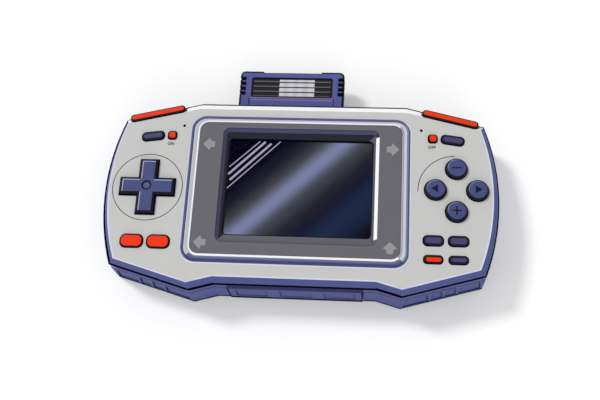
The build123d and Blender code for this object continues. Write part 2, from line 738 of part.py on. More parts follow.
# Keys that travel straight down, with their marks cut in
for key in all_keys:
    with BuildPart() as cap:
        with BuildSketch(Plane.XY.offset(flange_bottom_z)):
            draw_flange(key)
        extrude(amount=flange_top_z - flange_bottom_z)
        with BuildSketch(Plane.XY.offset(flange_bottom_z)):
            draw_key(key)
        extrude(amount=key.top - flange_bottom_z)
        fillet(cap.faces().sort_by(Axis.Z)[-1].edges(), key.edge)
        if key in round_keys:
            with BuildSketch(Plane.XY.offset(key.top)):
                with Locations((key.x, key.y)):
                    if key.label in ("button_minus", "button_plus"):
                        Rectangle(mark_length, mark_width)
                    if key.label == "button_plus":
                        Rectangle(mark_width, mark_length)
                    if key.label == "button_forward":
                        RegularPolygon(arrow_radius, 3)
                    if key.label == "button_back":
                        RegularPolygon(arrow_radius, 3, rotation=180)
            extrude(amount=-mark_depth, mode=Mode.SUBTRACT)
    save(cap, key.label)

# Rubber sheets under the keys, a dome below each key
dome_top_z = flange_bottom_z - button_travel - dome_gap


def rubber_sheet(keys, margin):
    """Adds one sheet under a row of keys, with a tapered dome below each."""
    xs = [key.x for key in keys]
    ys = [key.y for key in keys]
    block_between((min(xs) - margin, max(xs) + margin), (min(ys) - margin, max(ys) + margin),
                  (board_top_z, board_top_z + membrane_thickness))
    for key in keys:
        radius = min(key.length, key.width) / 2
        with BuildSketch(Plane.XY.offset(board_top_z + membrane_thickness)) as low:
            with Locations((key.x, key.y)):
                Circle(radius)
        with BuildSketch(Plane.XY.offset(dome_top_z)) as high:
            with Locations((key.x, key.y)):
                Circle(radius - dome_draw)
        loft([low.sketch, high.sketch], ruled=True)


for label, keys, margin in (
    ("round_key_rubber", round_keys, round_radius),
    ("left_key_rubber", left_keys, red_pill_width / 2),
    ("right_key_rubber", right_keys, tall_pill_width / 2),
    ("upper_left_rubber", upper_keys[0::2], cap_size / 2),
    ("upper_right_rubber", upper_keys[1::2], cap_size / 2),
):
    with BuildPart() as rubber:
        rubber_sheet(keys, margin)
    save(rubber, label)

# Push switches under the shoulder buttons
with BuildPart() as shoulder_switches:
    for key in shoulder_keys:
        block_between((key.x - switch_size / 2, key.x + switch_size / 2),
                      (shoulder_switch_y - switch_size / 2, shoulder_switch_y + switch_size / 2),
                      (board_top_z, dome_top_z))
save(shoulder_switches, "shoulder_switches")

# Cross pad cap: cross, flange and hollow hub with two ears for the pivot cross
with BuildPart() as dpad_cap:
    cylinder_up([(pad_x, pad_y)], pad_flange_radius, pad_flange_bottom_z, pad_flange_top_z)
    with BuildSketch(Plane.XY.offset(pad_flange_bottom_z)):
        draw_pad()
    extrude(amount=pad_top_z - pad_flange_bottom_z)
    chamfer(dpad_cap.faces().sort_by(Axis.Z)[-1].edges(), pad_chamfer)
    with BuildSketch(Plane.XY.offset(pad_top_z)) as dimple_mouth:
        with Locations((pad_x, pad_y)):
            Circle(pad_dimple_radius)
    with BuildSketch(Plane.XY.offset(pad_top_z - pad_dimple_depth)) as dimple_floor:
        with Locations((pad_x, pad_y)):
            Circle(pad_dimple_radius - pad_dimple_slope)
    loft([dimple_floor.sketch, dimple_mouth.sketch], ruled=True, mode=Mode.SUBTRACT)
    cylinder_up([(pad_x, pad_y)], pad_hub_radius, pad_flange_bottom_z, pad_hub_top_z, Mode.SUBTRACT)
    for side in (-1, 1):
        ear = sorted((pad_x + side * pad_ear_inner, pad_x + side * pad_ear_outer))
        block_between(ear, (pad_y - pad_ear_half_width, pad_y + pad_ear_half_width),
                      (pad_pivot_z - pad_ear_rise, pad_hub_top_z))
    with BuildSketch(Plane((pad_x - pad_hub_radius, pad_y, pad_pivot_z), x_dir=(0, 1, 0), z_dir=(1, 0, 0))):
        Circle(pad_pin_radius + running_gap)
    extrude(amount=2 * pad_hub_radius, mode=Mode.SUBTRACT)
save(dpad_cap, "dpad_cap")

# Pivot cross: two crossed pins on a small block
with BuildPart() as dpad_spider:
    with Locations((pad_x, pad_y, pad_pivot_z)):
        Box(2 * pad_spider_half, 2 * pad_spider_half, 2 * pad_spider_half)
        Cylinder(pad_pin_radius, 2 * pad_pin_reach, rotation=(90, 0, 0))
        Cylinder(pad_pin_radius, 2 * pad_pin_reach, rotation=(0, 90, 0))
save(dpad_spider, "dpad_spider")

# Pivot base on the board, with the ears for the pins along Y
with BuildPart() as dpad_base:
    cylinder_up([(pad_x, pad_y)], pad_hub_radius, board_top_z, board_top_z + pad_base_thickness)
    for side in (-1, 1):
        ear = sorted((pad_y + side * pad_ear_inner, pad_y + side * pad_ear_outer))
        block_between((pad_x - pad_ear_half_width, pad_x + pad_ear_half_width), ear,
                      (board_top_z, pad_pivot_z + pad_ear_rise))
    with BuildSketch(Plane((pad_x, pad_y - pad_hub_radius, pad_pivot_z), x_dir=(1, 0, 0), z_dir=(0, 1, 0))):
        Circle(pad_pin_radius + running_gap)
    extrude(amount=2 * pad_hub_radius, mode=Mode.SUBTRACT)
save(dpad_base, "dpad_base")

# Rubber disc round the pivot, one dome under each arm
with BuildPart() as dpad_rubber:
    cylinder_up([(pad_x, pad_y)], pad_flange_radius, board_top_z, board_top_z + membrane_thickness)
    cylinder_up([(pad_x, pad_y)], pad_hub_radius + gap, board_top_z, board_top_z + membrane_thickness,
                Mode.SUBTRACT)
    with BuildSketch(Plane.XY.offset(board_top_z + membrane_thickness)):
        with Locations((pad_x, pad_y)):
            with PolarLocations(pad_dome_reach, 4):
                Circle(pad_dome_radius)
    extrude(amount=pad_dome_height)
save(dpad_rubber, "dpad_rubber")

# Cartridge: two half shells with the card between them
cart_split_z = cart_bottom_z + cart_thickness / 2
cart_plan_y = (cart_start_y + cart_end_y) / 2


def draw_cart():
    """Draws the cartridge outline with side grips and the lowered middle of its outer edge."""
    with Locations((cart_x, cart_plan_y)):
        RectangleRounded(cart_width, cart_length, cart_corner)
    for side in (-1, 1):
        for step in range(grip_count):
            with Locations((cart_x + side * cart_width / 2, grip_y + step * grip_pitch)):
                Rectangle(2 * grip_depth, grip_width, mode=Mode.SUBTRACT)
    with Locations((cart_x, cart_end_y)):
        Rectangle(dip_width, 2 * dip_depth, mode=Mode.SUBTRACT)


def cartridge_half(outer_z, sign):
    """Adds one half shell, from the split plane out to the given face, hollow behind the face."""
    with BuildSketch(Plane.XY.offset(cart_split_z)) as plan:
        draw_cart()
    extrude(plan.sketch, amount=sign * abs(outer_z - cart_split_z))
    hollow = abs(outer_z - cart_split_z) - cart_wall
    with BuildSketch(Plane.XY.offset(cart_split_z)) as inside:
        with Locations((cart_x, cart_plan_y)):
            Rectangle(card_width + 2 * gap, cart_length - 2 * cart_side_wall)
        with Locations((cart_x, cart_start_y)):
            Rectangle(card_width + 2 * gap, 2 * cart_side_wall + overrun)
    extrude(inside.sketch, amount=sign * hollow, mode=Mode.SUBTRACT)


with BuildPart() as cartridge_front:
    cartridge_half(cart_top_z, 1)
    chamfer(cartridge_front.faces().sort_by(Axis.Z)[-1].edges(), cart_chamfer)
    with BuildSketch(Plane.XY.offset(cart_top_z)):
        with Locations((cart_x, label_y)):
            RectangleRounded(label_width, label_height, label_radius)
    extrude(amount=-label_depth, mode=Mode.SUBTRACT)
    with BuildSketch(Plane.XY.offset(cart_top_z)):
        with Locations((cart_x, ledge_y)):
            Rectangle(ledge_width, ledge_height)
    extrude(amount=-ledge_depth, mode=Mode.SUBTRACT)
save(cartridge_front, "cartridge_front")

with BuildPart() as cartridge_rear:
    cartridge_half(cart_bottom_z, -1)
    chamfer(cartridge_rear.faces().sort_by(Axis.Z)[0].edges(), cart_chamfer)
save(cartridge_rear, "cartridge_rear")

with BuildPart() as cartridge_label:
    with BuildSketch(Plane.XY.offset(cart_top_z - label_depth)):
        with Locations((cart_x, label_y)):
            RectangleRounded(label_width - 2 * gap, label_height - 2 * gap, label_radius - gap)
    extrude(amount=label_thickness)
    with BuildSketch(Plane.XY.offset(cart_top_z - label_depth + label_thickness)):
        with Locations((cart_x, label_y)):
            with GridLocations(0, label_height / label_groove_count, 1, label_groove_count - 1):
                Rectangle(label_width, label_groove_width)
    extrude(amount=-label_groove_depth, mode=Mode.SUBTRACT)
save(cartridge_label, "cartridge_label")

with BuildPart() as cartridge_card:
    block_between((cart_x - card_width / 2, cart_x + card_width / 2),
                  (cart_start_y - card_reach, cart_end_y - cart_side_wall - gap),
                  (cart_split_z - card_thickness / 2, cart_split_z + card_thickness / 2))
save(cartridge_card, "cartridge_card")

# Connector that the card's edge slides into
connector_y = (cart_start_y - gap - connector_depth, cart_start_y - gap)
with BuildPart() as cartridge_connector:
    block_between((cart_x - connector_width / 2, cart_x + connector_width / 2), connector_y,
                  (cart_split_z - connector_height / 2, cart_split_z + connector_height / 2))
    block_between((cart_x - card_width / 2 - gap, cart_x + card_width / 2 + gap),
                  (cart_start_y - card_reach - gap, cart_start_y),
                  (cart_split_z - card_thickness / 2 - gap, cart_split_z + card_thickness / 2 + gap),
                  Mode.SUBTRACT)
    for side in (-1, 1):
        foot = sorted((cart_x + side * connector_width / 2, cart_x + side * (connector_width / 2 - bay_wall)))
        block_between(foot, connector_y, (floor_z, cart_split_z))
save(cartridge_connector, "cartridge_connector")

# Cells in the bay, lying along X with their ends alternating
cell_z = cell_bottom_z + cell_radius
for index in range(cell_count):
    with BuildPart() as cell:
        end = 1 if index % 2 else -1
        with Locations((0, cell_first_y + index * cell_pitch, cell_z)):
            Cylinder(cell_radius, cell_length - cell_tip_length, rotation=(0, 90, 0))
        with Locations((end * cell_length / 2, cell_first_y + index * cell_pitch, cell_z)):
            Cylinder(cell_tip_radius, 2 * cell_tip_length, rotation=(0, 90, 0))
    save(cell, f"battery_cell_{index + 1}")

# Contact plates at both ends of the cells
with BuildPart() as battery_contacts:
    for side in (-1, 1):
        plate = sorted((side * (bay_half_width - contact_thickness), side * bay_half_width))
        for index in range(cell_count):
            middle = cell_first_y + index * cell_pitch
            block_between(plate, (middle - contact_width / 2, middle + contact_width / 2),
                          (cell_z - contact_height / 2, cell_z + contact_height / 2))
save(battery_contacts, "battery_contacts")

# Speakers on the floor, behind the slots
for side, label in ((-1, "speaker_left"), (1, "speaker_right")):
    with BuildPart() as speaker:
        spot = [(side * speaker_x, speaker_y)]
        cylinder_up(spot, speaker_radius, floor_z, floor_z + speaker_rim_height)
        cylinder_up(spot, speaker_cone_radius, floor_z, floor_z + speaker_lip_height, Mode.SUBTRACT)
        cylinder_up(spot, speaker_magnet_radius, floor_z + speaker_rim_height, floor_z + speaker_height)
    save(speaker, label)

# Phone jack: body inside the wall, nose through it
with BuildPart() as phone_jack:
    block_between((jack_x - jack_width / 2, jack_x + jack_width / 2),
                  (inner_top_y - jack_body_depth, inner_top_y),
                  (jack_z - jack_height / 2, jack_z + jack_height / 2))
    with BuildSketch(Plane((jack_x, inner_top_y, jack_z), x_dir=(-1, 0, 0), z_dir=(0, 1, 0))):
        Circle(jack_nose_radius)
    extrude(amount=top_y - inner_top_y)
    with BuildSketch(Plane((jack_x, top_y, jack_z), x_dir=(-1, 0, 0), z_dir=(0, 1, 0))):
        Circle(jack_bore_radius)
    extrude(amount=-jack_bore_depth, mode=Mode.SUBTRACT)
save(phone_jack, "phone_jack")

# Power socket: flat shell with a tongue
with BuildPart() as power_socket:
    block_between((power_x - power_width / 2, power_x + power_width / 2), (top_y - power_depth, top_y),
                  (jack_z - power_height / 2, jack_z + power_height / 2))
    block_between((power_x - power_width / 2 + power_wall, power_x + power_width / 2 - power_wall),
                  (top_y - power_depth + power_wall, top_y + overrun),
                  (jack_z - power_height / 2 + power_wall, jack_z + power_height / 2 - power_wall),
                  Mode.SUBTRACT)
    block_between((power_x - power_width / 4, power_x + power_width / 4),
                  (top_y - power_depth, top_y - power_wall),
                  (jack_z - power_tongue / 2, jack_z + power_tongue / 2))
save(power_socket, "power_socket")

# Volume wheel with a notched edge, and the body and spindle it turns on
with BuildPart() as volume_wheel:
    with BuildSketch(Plane.XY.offset(wheel_z - wheel_thickness / 2)):
        with Locations((wheel_x, wheel_y)):
            Circle(wheel_radius)
            with PolarLocations(wheel_radius, wheel_notch_count):
                Circle(wheel_notch_radius, mode=Mode.SUBTRACT)
            Circle(wheel_hub_radius + running_gap, mode=Mode.SUBTRACT)
    extrude(amount=wheel_thickness)
save(volume_wheel, "volume_wheel")

pot_top_z = wheel_z - wheel_thickness / 2 - gap
with BuildPart() as volume_control:
    block_between((wheel_x - pot_size / 2, wheel_x + pot_size / 2),
                  (inner_top_y - gap - pot_size, inner_top_y - gap), (floor_z, pot_top_z))
    cylinder_up([(wheel_x, wheel_y)], wheel_hub_radius, pot_top_z, wheel_z + wheel_thickness / 2 + gap)
save(volume_control, "volume_control")

# Light pipes under the two small holes in the face
with BuildPart() as indicator_lamps:
    cylinder_up([(-lamp_x, lamp_y), (lamp_x, lamp_y)], lamp_radius - running_gap, board_top_z,
                face_z - lamp_sink)
save(indicator_lamps, "indicator_lamps")
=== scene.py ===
import json
import math
from collections import namedtuple

import bmesh
import bpy
from mathutils import Matrix, Vector


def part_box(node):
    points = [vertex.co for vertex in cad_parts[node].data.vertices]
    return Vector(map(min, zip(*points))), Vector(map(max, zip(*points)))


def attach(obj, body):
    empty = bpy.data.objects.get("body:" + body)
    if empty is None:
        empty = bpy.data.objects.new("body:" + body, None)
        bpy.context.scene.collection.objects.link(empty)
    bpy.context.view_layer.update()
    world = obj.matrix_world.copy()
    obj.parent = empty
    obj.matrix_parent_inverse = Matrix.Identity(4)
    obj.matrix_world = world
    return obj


# Handheld game console on a pale floor. Lengths are metres, written as millimetres times MM.
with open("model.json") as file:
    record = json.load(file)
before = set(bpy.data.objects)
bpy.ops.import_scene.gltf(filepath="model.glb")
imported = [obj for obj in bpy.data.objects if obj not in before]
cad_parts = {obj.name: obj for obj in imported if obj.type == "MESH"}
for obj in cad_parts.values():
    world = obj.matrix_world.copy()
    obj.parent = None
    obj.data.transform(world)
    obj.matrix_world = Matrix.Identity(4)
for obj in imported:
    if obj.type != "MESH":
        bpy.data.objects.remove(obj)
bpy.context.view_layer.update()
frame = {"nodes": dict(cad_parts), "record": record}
scene = bpy.context.scene
MM = 0.001
SKIN = 0.03 * MM

# How far up a face has to look for a mask to start and to be full
LEVEL = (0.9, 0.95)
UPRIGHT = (0.8, 0.7)
SLOPED = (0.9, 0.8)

# Shader settings that several surfaces share
MATT_SHEEN, SATIN_SHEEN = 0.1, 0.12
BEVEL_SAMPLES = 6
FINE_DETAIL = 3.0


# Colours and shader nodes

def colour(red, green, blue):
    """A colour given as 0 to 255 on screen, as the linear value that shaders take."""
    def linear(level):
        share = level / 255
        return share / 12.92 if share <= 0.04045 else ((share + 0.055) / 1.055) ** 2.4
    return (linear(red), linear(green), linear(blue), 1.0)


class Surface:
    """One material in the making: its nodes, and short calls for the ones used here."""

    def __init__(self, name):
        self.material = bpy.data.materials.new(name)
        self.material.use_nodes = True
        self.nodes = self.material.node_tree.nodes
        self.links = self.material.node_tree.links
        self.shader = self.nodes["Principled BSDF"]
        coordinates = self.nodes.new("ShaderNodeTexCoord")
        self.place = coordinates.outputs["Object"]
        place_split = self.add("ShaderNodeSeparateXYZ", self.place)
        self.x, self.y, self.z = place_split.outputs
        facing_split = self.add("ShaderNodeSeparateXYZ", coordinates.outputs["Normal"])
        self.facing_x, self.facing_y, self.facing_z = facing_split.outputs

    def feed(self, socket, value):
        """Links a socket or sets a value."""
        if isinstance(value, bpy.types.NodeSocket):
            self.links.new(value, socket)
        else:
            socket.default_value = value

    def add(self, kind, *values, **settings):
        """Adds a node with its first inputs fed in order."""
        node = self.nodes.new(kind)
        for name, value in settings.items():
            setattr(node, name, value)
        for socket, value in zip(node.inputs, values):
            self.feed(socket, value)
        return node

    def math(self, operation, *values):
        """One Math node."""
        return self.add("ShaderNodeMath", *values, operation=operation).outputs[0]

    def plus(self, first, second):
        """The sum of two values."""
        return self.math("ADD", first, second)

    def minus(self, first, second):
        """The first value less the second."""
        return self.math("SUBTRACT", first, second)

    def both(self, first, second):
        """1 only where both masks are 1, or a product."""
        return self.math("MULTIPLY", first, second)

    def either(self, first, second):
        """1 where one of the masks is 1, or the larger value."""
        return self.math("MAXIMUM", first, second)

    def unsigned(self, value):
        """A value without its sign."""
        return self.math("ABSOLUTE", value)

    def reach(self, across, along):
        """The length of a step across and along."""
        return self.math("SQRT", self.plus(self.both(across, across), self.both(along, along)))

    def step(self, value, low, high):
        """0 at low, 1 at high, smooth between."""
        node = self.add("ShaderNodeMapRange", value, low, high, 0.0, 1.0, interpolation_type="SMOOTHSTEP")
        return node.outputs[0]

    def within(self, value, low, high, soft):
        """1 where the value is between low and high, 0 outside."""
        rise = self.step(value, low - soft, low + soft)
        fall = self.step(value, high - soft, high + soft)
        return self.minus(rise, fall)

    def mix(self, mask, first, second):
        """The first colour where the mask is 0, the second where it is 1."""
        node = self.nodes.new("ShaderNodeMix")
        node.data_type = "RGBA"
        factor, start, end = (node.inputs[index] for index in (0, 6, 7))
        self.feed(factor, mask)
        self.feed(start, first)
        self.feed(end, second)
        return node.outputs[2]

    def noise(self, size, detail=2.0):
        """Noise whose spots are about this large, from 0 to 1."""
        node = self.nodes.new("ShaderNodeTexNoise")
        self.feed(node.inputs["Vector"], self.place)
        node.inputs["Scale"].default_value = 1 / size
        node.inputs["Detail"].default_value = detail
        return node.outputs[0]

    def edges(self, radius, low=0.02, high=0.2):
        """1 on edges sharper than the radius, 0 on flat and softly curved faces."""
        bevel = self.add("ShaderNodeBevel", radius, samples=BEVEL_SAMPLES)
        normal = self.nodes.new("ShaderNodeNewGeometry").outputs["Normal"]
        dot = self.add("ShaderNodeVectorMath", bevel.outputs[0], normal, operation="DOT_PRODUCT")
        turned_by = self.minus(1.0, dot.outputs["Value"])
        return self.step(turned_by, low, high)

    def leaning(self, radius):
        """How far the surface, with its edges rounded, leans to the upper left."""
        upper_left = (-0.7, 0.7, 0.0)
        bevel = self.add("ShaderNodeBevel", radius, samples=BEVEL_SAMPLES)
        lean = self.add("ShaderNodeVectorMath", bevel.outputs[0], upper_left, operation="DOT_PRODUCT")
        return lean.outputs["Value"]

    def bands(self, value, soft, first, *later):
        """Colours one after the other along a value: the first, then each from its own start on."""
        painted = first
        for start, tint in later:
            painted = self.mix(self.step(value, start - soft, start + soft), painted, tint)
        return painted

    def near(self, outline):
        """Distance outside a rounded rectangle, and how far past the start of its corners in x and in y."""
        spans = ((self.x, outline.left, outline.right), (self.y, outline.bottom, outline.top))
        past = []
        for value, low, high in spans:
            centred = self.unsigned(self.minus(value, (low + high) / 2))
            past.append(self.minus(centred, (high - low) / 2 - outline.radius))
        squares = [self.math("POWER", self.either(amount, 0.0), 2.0) for amount in past]
        corner = self.math("SQRT", self.plus(*squares))
        inside = self.math("MINIMUM", self.either(*past), 0.0)
        distance = self.minus(self.plus(corner, inside), outline.radius)
        return distance, past[0], past[1]

    def by_side(self, outline, past, left, right, top, bottom):
        """A colour for each side of a rounded rectangle, mitred at its corners."""
        mitre = 0.2 * MM
        across, along = (outline.left + outline.right) / 2, (outline.bottom + outline.top) / 2
        flank = self.step(self.minus(*past), -mitre, mitre)
        sides = self.mix(self.step(self.x, across - MM, across + MM), left, right)
        ends = self.mix(self.step(self.y, along - MM, along + MM), bottom, top)
        return self.mix(flank, ends, sides)

    def relief(self, height, distance, strength=1.0):
        """Bump from a height between 0 and 1."""
        node = self.nodes.new("ShaderNodeBump")
        node.inputs["Strength"].default_value = strength
        node.inputs["Distance"].default_value = distance
        self.feed(node.inputs["Height"], height)
        self.feed(self.shader.inputs["Normal"], node.outputs[0])

    def set(self, **values):
        """Feeds the shader's inputs by name, with underscores for spaces."""
        for name, value in values.items():
            self.feed(self.shader.inputs[name.replace("_", " ")], value)
        return self.material


def drift(surface, base, amount, size):
    """The base colour, a little darker and lighter in soft patches."""
    dark = tuple(level * (1 - amount) for level in base[:3]) + (1.0,)
    light = tuple(min(1.0, level * (1 + amount)) for level in base[:3]) + (1.0,)
    return surface.mix(surface.noise(size, FINE_DETAIL), dark, light)


def roughness_range(surface, low, high, size):
    """Roughness that varies between two values in spots."""
    noise_low, noise_high = 0.3, 0.7
    node = surface.add("ShaderNodeMapRange", surface.noise(size), noise_low, noise_high, low, high)
    return node.outputs[0]


# Sizes read from the frame

Box = namedtuple("Box", "low high middle")
Outline = namedtuple("Outline", "left right bottom top radius")


def node_box(name):
    """A CAD node's lowest and highest corners and its middle."""
    low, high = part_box(name)
    return Box(low, high, (low + high) / 2)


def node_outline(name, radius):
    """A rounded rectangle round a CAD node."""
    box = node_box(name)
    return Outline(box.low.x, box.high.x, box.low.y, box.high.y, radius)


ring_radius, bezel_radius, label_radius, cart_radius = 7.5 * MM, 4.5 * MM, 1.0 * MM, 2.6 * MM
face_top = node_box("front_shell").high.z
bezel_top = node_box("screen_bezel").high.z
lens_top = node_box("screen_lens").high.z
ring = node_outline("screen_ring", ring_radius)
bezel = node_outline("screen_bezel", bezel_radius)
label = node_outline("cartridge_label", label_radius)
cart_outline = node_outline("cartridge_front", cart_radius)
cart_middle = node_box("cartridge_front").middle
pad_middle = node_box("dpad_cap").middle

# Outlines inside CAD nodes, which their boxes don't give
recess = Outline(left=-40.05 * MM, right=39.65 * MM, bottom=-28.15 * MM, top=33.35 * MM, radius=3.5 * MM)
printed = Outline(left=-36.32 * MM, right=36.12 * MM, bottom=-23.4 * MM, top=27.75 * MM, radius=1.6 * MM)


# Plastics of the case

def moulded(name, base, edge, edge_share):
    """Moulded plastic with a fine texture, soft colour drift, and paler edges that are partly wear and partly
    a painted highlight.
    """
    patch_share, patch_size = 0.04, 14 * MM
    edge_radius = 0.35 * MM
    grain, grain_height, grain_strength = 0.35 * MM, 0.02 * MM, 0.25
    least_rough, most_rough, rough_size = 0.49, 0.61, 3 * MM
    surface = Surface(name)
    body = drift(surface, base, patch_share, patch_size)
    # Paler edges: wear, together with a painted highlight along every sharp edge
    toned = surface.both(surface.edges(edge_radius), edge_share)
    painted = surface.mix(toned, body, edge)
    surface.relief(surface.noise(grain, FINE_DETAIL), grain_height, grain_strength)
    rough = roughness_range(surface, least_rough, most_rough, rough_size)
    surface.set(Roughness=rough, Specular_IOR_Level=MATT_SHEEN)
    return surface, painted


def make_face_grey():
    """Light grey faceplate: a painted white highlight on its upper edge, a painted highlight round the screen
    ring, and painted shade in its grooves and key holes.
    """
    glow_start, glow_full = 1.0 * MM, 0.6 * MM
    far_start, far_full = 0.3, 0.5
    white_z, white_soft = 24.8 * MM, 0.1 * MM
    flat_start, flat_full = 0.97, 0.99
    groove_deep, groove_shallow, groove_soft = 0.5 * MM, 0.12 * MM, 0.02 * MM
    steep_start, steep_full = 0.6, 0.5
    wall_start, wall_full = 0.02 * MM, 0.08 * MM
    edge_share = 0.4
    surface, painted = moulded("face_grey", colour(199, 199, 198), colour(212, 214, 224), edge_share)
    distance, *past = surface.near(ring)
    # A painted highlight on the face round the screen ring, paler at the right and bottom
    glow = surface.by_side(ring, past, left=colour(207, 209, 227), right=colour(217, 220, 236),
                           top=colour(208, 206, 222), bottom=colour(224, 222, 236))
    painted = surface.mix(surface.step(distance, glow_start, glow_full), painted, glow)
    # The upper edge's slope, painted white as a highlight above the dark line at its foot
    far_edge = surface.step(surface.facing_y, far_start, far_full)
    white = surface.bands(surface.z, white_soft, colour(12, 12, 18), (white_z, colour(252, 252, 252)))
    painted = surface.mix(far_edge, painted, white)
    # Painted shade on the floors of shallow grooves just below the face
    flat = surface.step(surface.facing_z, flat_start, flat_full)
    sunk = surface.within(surface.z, face_top - groove_deep, face_top - groove_shallow, groove_soft)
    painted = surface.mix(surface.both(flat, sunk), painted, colour(44, 46, 46))
    # Painted shade on the walls of the key holes, so the gap round each key looks dark
    steep = surface.step(surface.facing_z, steep_start, steep_full)
    below_face = surface.step(surface.z, face_top - wall_start, face_top - wall_full)
    painted = surface.mix(surface.both(steep, below_face), painted, colour(20, 20, 28))
    return surface.set(Base_Color=painted)


def lower_seam_shade(surface, in_cover, upright):
    """1 on the parting line, the foot line and the cover's joints, all painted shade; the parting line climbs
    on walls that face away, where it also draws the outline.
    """
    part_low, part_high, part_soft = 18.75 * MM, 24.45 * MM, 0.08 * MM
    climb_far, climb_left, climb_right, climb_far_left = 0.3 * MM, 2.1 * MM, 0.35 * MM, 4.0 * MM
    foot_top, foot_soft, cover_foot_extra = 3.0 * MM, 0.1 * MM, 0.8 * MM
    cover_front_start, cover_front_full = -48.4 * MM, -48.6 * MM
    joint_inner, joint_outer, joint_soft = 32.8 * MM, 33.7 * MM, 0.05 * MM
    joint_start, joint_full = -47.0 * MM, -47.5 * MM
    joint_end_z, joint_full_z = 18.5 * MM, 18.3 * MM
    to_left = surface.either(surface.both(surface.facing_x, -1.0), 0.0)
    to_right = surface.either(surface.facing_x, 0.0)
    to_far_left = surface.both(to_left, surface.either(surface.facing_y, 0.0))
    climb = surface.plus(surface.both(to_left, climb_left), surface.both(to_right, climb_right))
    climb = surface.plus(climb, surface.both(to_far_left, climb_far_left))
    climb = surface.plus(surface.both(surface.facing_y, climb_far), climb)
    above_low = surface.step(surface.z, part_low - part_soft, part_low + part_soft)
    below_high = surface.step(surface.minus(surface.z, climb), part_high + part_soft, part_high - part_soft)
    parting = surface.both(surface.both(above_low, below_high), upright)
    cover_front = surface.both(in_cover, surface.step(surface.y, cover_front_start, cover_front_full))
    foot_z = surface.minus(surface.z, surface.both(cover_front, cover_foot_extra))
    sideways = surface.step(surface.unsigned(surface.facing_z), *SLOPED)
    foot = surface.both(surface.step(foot_z, foot_top + foot_soft, foot_top - foot_soft), sideways)
    joint = surface.both(surface.within(surface.unsigned(surface.x), joint_inner, joint_outer, joint_soft),
                         surface.step(surface.y, joint_start, joint_full))
    joint = surface.both(joint, surface.step(surface.z, joint_end_z, joint_full_z))
    return surface.either(surface.either(parting, foot), surface.both(joint, upright))


def ring_painted_shading(surface):
    """The screen ring's painted light and shade, side by side and from its inner to its outer edge: paler
    inside at the right, a darker line in the middle at the bottom.
    """
    right_soft, right_outer = 0.12 * MM, -0.62 * MM
    bottom_soft, bottom_groove, bottom_outer = 0.1 * MM, -1.1 * MM, -0.3 * MM
    distance, *past = surface.near(ring)
    right = surface.bands(distance, right_soft, colour(122, 130, 150), (right_outer, colour(81, 87, 120)))
    bottom = surface.bands(distance, bottom_soft, colour(84, 92, 136), (bottom_groove, colour(60, 66, 112)),
                           (bottom_outer, colour(80, 84, 124)))
    return surface.by_side(ring, past, left=colour(85, 85, 124), right=right, top=colour(93, 92, 128),
                           bottom=bottom)


def make_shell_violet():
    """Blue-violet case plastic: painted shade in its seam lines, painted light on the ledge and painted shade
    under it, a painted highlight on its rim, the screen ring's painted light and shade, and dark outlines
    along its lower edge.
    """
    cover_half_width, cover_soft = 33.4 * MM, 0.05 * MM
    line_radius, line_start, line_full = 1.1 * MM, 0.03, 0.09
    lines_low, lines_high, lines_soft = 1.4 * MM, 17.3 * MM, 0.1 * MM
    ledge_low, ledge_high, ledge_soft = 18.3 * MM, 18.5 * MM, 0.03 * MM
    under_low, under_high, under_soft = 17.3 * MM, 18.45 * MM, 0.1 * MM
    rim_half, rim_soft = 0.1 * MM, 0.02 * MM
    rim_front_start, rim_front_end = -48.5 * MM, -47.5 * MM
    ring_start, ring_full = 0.05 * MM, 0.1 * MM
    edge_share = 0.4
    surface, painted = moulded("shell_violet", colour(84, 92, 148), colour(98, 106, 160), edge_share)
    upright = surface.step(surface.facing_z, *UPRIGHT)
    level = surface.step(surface.facing_z, *LEVEL)
    in_cover = surface.within(surface.x, -cover_half_width, cover_half_width, cover_soft)
    lines = surface.both(surface.edges(line_radius, line_start, line_full),
                         surface.within(surface.z, lines_low, lines_high, lines_soft))
    painted = surface.mix(surface.both(lines, upright), painted, colour(20, 22, 60))
    # Painted light: the ledge tops are lighter so that they show as a lit strip
    ledge = surface.both(level, surface.within(surface.z, ledge_low, ledge_high, ledge_soft))
    ledge_light = surface.mix(in_cover, colour(150, 150, 215), colour(90, 88, 150))
    painted = surface.mix(ledge, painted, ledge_light)
    # Painted shade on the wall under the ledge
    under = surface.both(surface.within(surface.z, under_low, under_high, under_soft), upright)
    under_shade = surface.mix(in_cover, colour(26, 26, 58), colour(50, 48, 92))
    painted = surface.mix(under, painted, under_shade)
    seam_shade = lower_seam_shade(surface, in_cover, upright)
    # The seam lines in near black: painted shade
    painted = surface.mix(seam_shade, painted, colour(4, 4, 14))
    # A painted highlight on the flat rim round the faceplate, paler away from the front
    rim = surface.both(level, surface.within(surface.z, face_top - rim_half, face_top + rim_half, rim_soft))
    rim_highlight = surface.mix(surface.step(surface.y, rim_front_start, rim_front_end), colour(200, 203, 220),
                           colour(215, 216, 236))
    painted = surface.mix(rim, painted, rim_highlight)
    # Above the face: the screen ring in painted light and shade
    above_face = surface.step(surface.z, face_top + ring_start, face_top + ring_full)
    painted = surface.mix(above_face, painted, ring_painted_shading(surface))
    # No sheen on the painted shade of the seam lines
    sheen = surface.minus(MATT_SHEEN, surface.both(seam_shade, MATT_SHEEN))
    return surface.set(Base_Color=painted, Specular_IOR_Level=sheen)


